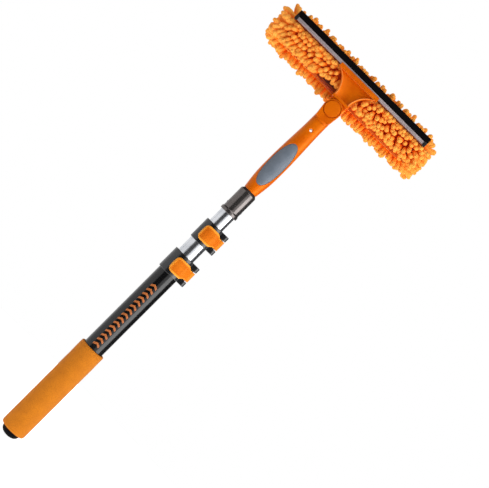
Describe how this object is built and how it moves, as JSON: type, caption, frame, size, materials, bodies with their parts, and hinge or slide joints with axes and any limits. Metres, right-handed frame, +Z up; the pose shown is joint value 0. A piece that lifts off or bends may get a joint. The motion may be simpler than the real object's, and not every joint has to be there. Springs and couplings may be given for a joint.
{
  "type": "telescopic window squeegee and scrubber",
  "caption": "Telescopic pole with flip-lever clamps and a foam grip, carrying a swivelling rubber squeegee backed by a chenille scrubber pad.",
  "frame": {"origin": "middle of the foam grip, on the pole's axis", "axes": "+Z up along the pole towards the head, -Y the way the blade and the clamp levers face, +X to the side of the lever hinges"},
  "size_m": [0.272, 0.0603, 0.7055],
  "materials": {
    "cap_rubber": "matt black rubber",
    "grip_foam": "matt orange closed-cell foam",
    "black_tube": "gloss black powder coat with plain orange printed bars",
    "clamp_plastic": "black moulded, fine texture",
    "liner_plastic": "white acetal, hidden",
    "shoe_rubber": "dark rubber, hidden",
    "steel": "zinc plated",
    "lever_plastic": "orange moulded, satin",
    "bright_tube": "bright anodised, drawn along its length",
    "guide_plastic": "dark nylon, hidden",
    "collar_plastic": "dark grey moulded, semi-gloss",
    "handle_plastic": "orange moulded, semi-gloss",
    "soft_insert": "grey-blue soft-touch rubber",
    "channel_metal": "pale grey anodised",
    "blade_rubber": "near-black rubber",
    "clip_plastic": "black moulded",
    "bar_plastic": "orange moulded, hidden in the sleeve",
    "chenille": "orange microfibre chenille",
    "hem_fabric": "orange woven binding"
  },
  "bodies": {
    "pole_base": {"end_cap": "cap_rubber", "foam_grip": "grip_foam", "outer_tube": "black_tube", "lower_clamp_body": "clamp_plastic", "lower_clamp_liner": "liner_plastic", "lower_clamp_shoe": "shoe_rubber", "lower_clamp_pin": "steel"},
    "lower_lever": {"lower_clamp_lever": "lever_plastic"},
    "middle_section": {"middle_tube": "bright_tube", "middle_tube_guide": "guide_plastic", "upper_clamp_body": "clamp_plastic", "upper_clamp_liner": "liner_plastic", "upper_clamp_shoe": "shoe_rubber", "upper_clamp_pin": "steel"},
    "upper_lever": {"upper_clamp_lever": "lever_plastic"},
    "top_section": {"inner_tube": "bright_tube", "inner_tube_guide": "guide_plastic", "tip_collar": "collar_plastic", "threaded_stud": "guide_plastic", "tip_rivets": "steel", "handle_body": "handle_plastic", "handle_grip_front": "soft_insert", "handle_grip_back": "soft_insert", "swivel_neck": "handle_plastic", "pivot_pin": "steel", "pivot_nut": "steel", "pivot_cap": "handle_plastic", "friction_washers": "steel"},
    "swivel_head": {"yoke": "handle_plastic", "blade_channel": "channel_metal", "rubber_blade": "blade_rubber", "channel_end_clips": "clip_plastic", "pad_bar": "bar_plastic", "pad_bar_screws": "steel", "scrub_pad": "chenille", "pad_hem": "hem_fabric"}
  },
  "joints": [
    {"name": "middle_slide", "type": "slide", "parent": "pole_base", "child": "middle_section", "axis": [0, 0, 1], "range_m": [-0.023, 0.24]},
    {"name": "top_slide", "type": "slide", "parent": "middle_section", "child": "top_section", "axis": [0, 0, 1], "range_m": [-0.022, 0.24]},
    {"name": "head_swivel", "type": "hinge", "parent": "top_section", "child": "swivel_head", "pos_m": [0, 0, 0.5475], "axis": [0, 1, 0], "range_deg": [-90, 90]},
    {"name": "lower_lever_hinge", "type": "hinge", "parent": "pole_base", "child": "lower_lever", "pos_m": [0.023, -0.003, 0.244], "axis": [0, 0, 1], "range_deg": [0, 120]},
    {"name": "upper_lever_hinge", "type": "hinge", "parent": "middle_section", "child": "upper_lever", "pos_m": [0.021, -0.003, 0.303], "axis": [0, 0, 1], "range_deg": [0, 120]}
  ]
}
